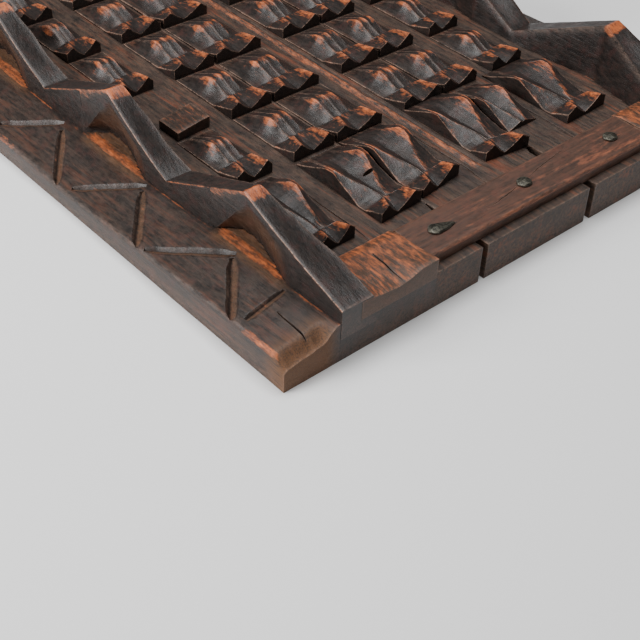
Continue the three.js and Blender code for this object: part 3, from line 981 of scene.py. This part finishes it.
# %% The woods
def wood(name, along_x, tones, gloss):
    material, put, place, cloud, math_of, ramp, mark, blend = nodes_of(name)
    draw = (0.05, 1, 1) if along_x else (1, 0.05, 1)
    soft_draw = (0.3, 1, 1) if along_x else (1, 0.3, 1)
    fibre = cloud(place(draw), 1500, 3, 0.6)
    streak = cloud(place(draw), 330, 4, 0.6)
    patch = cloud(place(soft_draw), 60, 4, 0.6)
    mottle = cloud(place(soft_draw), 300, 5, 0.7)
    tint = cloud(place((1, 1, 1)), 95, 4, 0.65)
    speck = cloud(place((1, 1, 1)), 900, 2, 0.6)
    broad = cloud(place((1, 1, 1)), 16, 2, 0.5)
    wear, raw, ground = (mark(key) for key in ("wear", "raw", "ground"))
    # The pale edge line: a faint rubbed edge on every proud vertex, raised by a painted highlight
    # where an arris faces the lamp.
    edge = math_of("MULTIPLY", mark("edge"), math_of("ADD", mark("shine"), 0.25))

    colour = blend(ramp(mottle, 0.38, 0.62), tones["dark"], tones["patina"])
    colour = blend(ramp(tint, 0.5, 0.68, 0.8), colour, tones["red"])
    colour = blend(ramp(streak, 0.45, 0.72, 0.6), colour, tones["streak"])
    dust = math_of("MULTIPLY", ground, ramp(mottle, 0.3, 0.6))
    dust = math_of("MULTIPLY", dust, ramp(patch, 0.2, 0.5))
    colour = blend(math_of("MULTIPLY", dust, ramp(streak, 0.2, 0.55)), colour, tones["ground"])
    rust = math_of("MULTIPLY", ground, ramp(math_of("ADD", patch, streak), 1.05, 1.3, 0.7))
    colour = blend(rust, colour, tones["worn_deep"])
    raw_part = math_of("MULTIPLY", raw, ramp(fibre, 0.3, 0.55))
    colour = blend(raw_part, colour, tones["raw"])
    ragged = math_of("MULTIPLY", math_of("SUBTRACT", mottle, 0.5), 1.5)
    ragged = math_of("ADD", ragged, math_of("MULTIPLY", math_of("SUBTRACT", streak, 0.5), 0.8))
    rubbed = ramp(math_of("ADD", wear, ragged), 0.35, 0.95)
    worn = blend(ramp(mottle, 0.35, 0.6), tones["worn_deep"], tones["worn"])
    colour = blend(rubbed, colour, worn)
    # Paints the pale edge line, partly rubbed wood and partly painted highlight.
    line = math_of("MULTIPLY", edge, ramp(math_of("ADD", mottle, speck), 0.8, 1.2))
    colour = blend(math_of("MULTIPLY", line, 0.8), colour, tones["edge"])
    pore = ramp(fibre, 0.34, 0.27)
    colour = blend(math_of("MULTIPLY", pore, 0.6), colour, tones["pore"])

    rough = math_of("ADD", math_of("MULTIPLY", mottle, 0.35), gloss)
    rough = math_of("ADD", rough, math_of("MULTIPLY", ground, 0.16))
    rough = math_of("ADD", rough, math_of("MULTIPLY", raw, 0.3), True)
    grain = math_of("ADD", math_of("MULTIPLY", fibre, 0.5), math_of("MULTIPLY", streak, 0.9))
    grain = math_of("ADD", grain, math_of("MULTIPLY", speck, 0.25))
    grain = math_of("ADD", grain, math_of("MULTIPLY", mottle, 0.8))
    deeper = math_of("ADD", 0.4, math_of("MULTIPLY", math_of("MAXIMUM", raw, ground), 0.4))
    height = math_of("MULTIPLY", grain, deeper)
    height = math_of("ADD", height, math_of("MULTIPLY", broad, 1.2))
    bump = put("ShaderNodeBump", {"Strength": 0.7, "Distance": 0.001, "Height": height})
    shader = put("ShaderNodeBsdfPrincipled", {
        "Base Color": colour, "Roughness": rough, "Normal": bump.outputs["Normal"],
        "Specular IOR Level": 0.4,
    })
    put("ShaderNodeOutputMaterial", {"Surface": shader.outputs["BSDF"]})
    return material


dark_wood = wood("smoked_wood", False, dict(
    dark=shade(24, 21, 20), patina=shade(42, 35, 32), red=shade(58, 36, 32),
    streak=shade(54, 41, 35), ground=shade(78, 60, 48), raw=shade(112, 74, 42),
    # edge is the colour of the pale edge line: rubbed wood and painted highlight
    worn=shade(186, 98, 50), worn_deep=shade(112, 58, 36), edge=shade(206, 168, 146),
    pore=shade(12, 10, 9),
), 0.22)
batten_wood = wood("rubbed_wood", True, dict(
    dark=shade(40, 30, 26), patina=shade(70, 47, 38), red=shade(84, 48, 38),
    streak=shade(92, 60, 45), ground=shade(66, 47, 38), raw=shade(120, 76, 48),
    # edge is the colour of the pale edge line: rubbed wood and painted highlight
    worn=shade(136, 80, 55), worn_deep=shade(92, 54, 40), edge=shade(206, 166, 138),
    pore=shade(18, 13, 12),
), 0.3)
print("two woods are mixed")

# %% The iron
def forged_iron():
    material, put, place, cloud, math_of, ramp, mark, blend = nodes_of("forged_iron")
    scale_marks = cloud(place((1, 1, 1)), 420, 4, 0.6)
    pitted = cloud(place((1, 1, 1)), 1500, 3, 0.6)
    colour = blend(ramp(scale_marks, 0.4, 0.65), shade(38, 38, 34), shade(84, 82, 72))
    colour = blend(ramp(pitted, 0.55, 0.7, 0.5), colour, shade(84, 58, 42))
    colour = blend(math_of("MULTIPLY", mark("edge"), 0.5), colour, shade(150, 145, 132))
    rough = math_of("ADD", 0.3, math_of("MULTIPLY", scale_marks, 0.35))
    height = math_of("ADD", scale_marks, math_of("MULTIPLY", pitted, 0.4))
    bump = put("ShaderNodeBump", {"Strength": 0.6, "Distance": 0.0008, "Height": height})
    shader = put("ShaderNodeBsdfPrincipled", {
        "Base Color": colour, "Roughness": rough, "Metallic": 0.75,
        "Normal": bump.outputs["Normal"],
    })
    put("ShaderNodeOutputMaterial", {"Surface": shader.outputs["BSDF"]})
    return material


iron = forged_iron()
print("iron is finished")

# %% Finish every piece
finish_piece(left_plank, "carved_plank_left", ["plank_left"], dark_wood)
finish_piece(middle_plank, "carved_plank_middle", ["plank_middle"], dark_wood)
finish_piece(right_plank, "carved_plank_right", ["plank_right"], dark_wood)
finish_piece(lower_batten, "worn_batten_lower", ["batten_lower"], batten_wood)
finish_piece(upper_batten, "worn_batten_upper", ["batten_upper"], batten_wood)
for piece, node in nails:
    finish_piece(piece, piece.name, [node], iron)

# %% [markdown]
# ## Floor and light
# The door lies on a plain pale floor. The carving is read by its highlights, so one large
# soft lamp stands low on the left and makes the left edges bright, and a second one hangs
# over the door and gives the waxed facets their grey sheen. The near end stays dark.

# %% Lay the floor
bm = bmesh.new()
bmesh.ops.create_grid(bm, x_segments=1, y_segments=1, size=6)
floor_mesh = bpy.data.meshes.new("floor")
bm.to_mesh(floor_mesh)
bm.free()
floor = bpy.data.objects.new("floor", floor_mesh)
bpy.context.scene.collection.objects.link(floor)
material, put, *_ = nodes_of("floor_paint")
shader = put("ShaderNodeBsdfPrincipled", {"Base Color": (0.86, 0.86, 0.86, 1), "Roughness": 0.7})
put("ShaderNodeOutputMaterial", {"Surface": shader.outputs["BSDF"]})
floor_mesh.materials.append(material)


# %% Set the lamps
def lamp(name, place, aim, size, power):
    light = bpy.data.lights.new(name, "AREA")
    light.shape = "RECTANGLE"
    light.size, light.size_y = size
    light.energy = power
    made = bpy.data.objects.new(name, light)
    bpy.context.scene.collection.objects.link(made)
    made.location = place
    made.rotation_euler = (Vector(aim) - Vector(place)).to_track_quat("-Z", "Y").to_euler()
    return made


lamp("window_lamp", (-1.7, 0.35, 0.95), (0, -0.1, 0), (1.0, 0.9), 46)
lamp("top_lamp", (0.1, -0.1, 1.9), (0, -0.1, 0), (1.3, 1.1), 40)
world = bpy.data.worlds.new("room")
bpy.context.scene.world = world
world.use_nodes = True
world.node_tree.nodes["Background"].inputs["Color"].default_value = (1, 1, 1, 1)
world.node_tree.nodes["Background"].inputs["Strength"].default_value = 0.16
print("the lamps are set")
